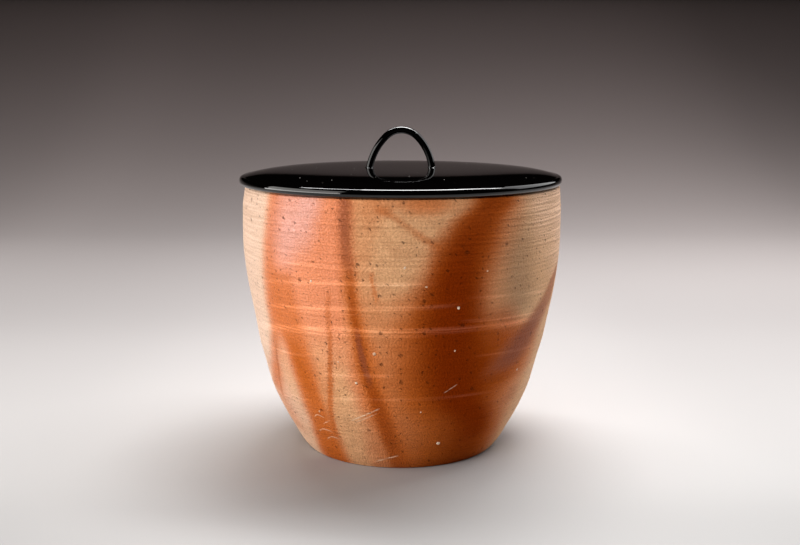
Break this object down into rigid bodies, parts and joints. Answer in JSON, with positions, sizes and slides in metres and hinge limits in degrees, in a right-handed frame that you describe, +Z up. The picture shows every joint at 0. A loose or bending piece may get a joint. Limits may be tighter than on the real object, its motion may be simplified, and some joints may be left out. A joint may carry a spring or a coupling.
{
  "type": "mizusashi water jar",
  "caption": "Round stoneware tea-room water jar tapering to a flat foot, with a lift-off black lacquered wood lid that has an arched rod handle.",
  "frame": {"origin": "centre of the jar's flat underside, where it stands on the surface", "axes": "+Z up along the jar's axis; the lid's arched handle lies along X; the pictured front faces -Y"},
  "size_m": [0.191, 0.191, 0.1912],
  "materials": {
    "fired_clay": "matte",
    "black_lacquer": "gloss",
    "wedge_wood": "matte"
  },
  "bodies": {
    "jar": {"jar_body": "fired_clay"},
    "lid": {"lid_board": "black_lacquer", "lid_locating_ring": "black_lacquer", "lid_handle": "black_lacquer", "handle_wedge_left": "wedge_wood", "handle_wedge_right": "wedge_wood"}
  },
  "joints": [
    {"name": "lid_lift", "type": "slide", "parent": "jar", "child": "lid", "axis": [0, 0, 1], "range_m": [0, 0.2]}
  ]
}
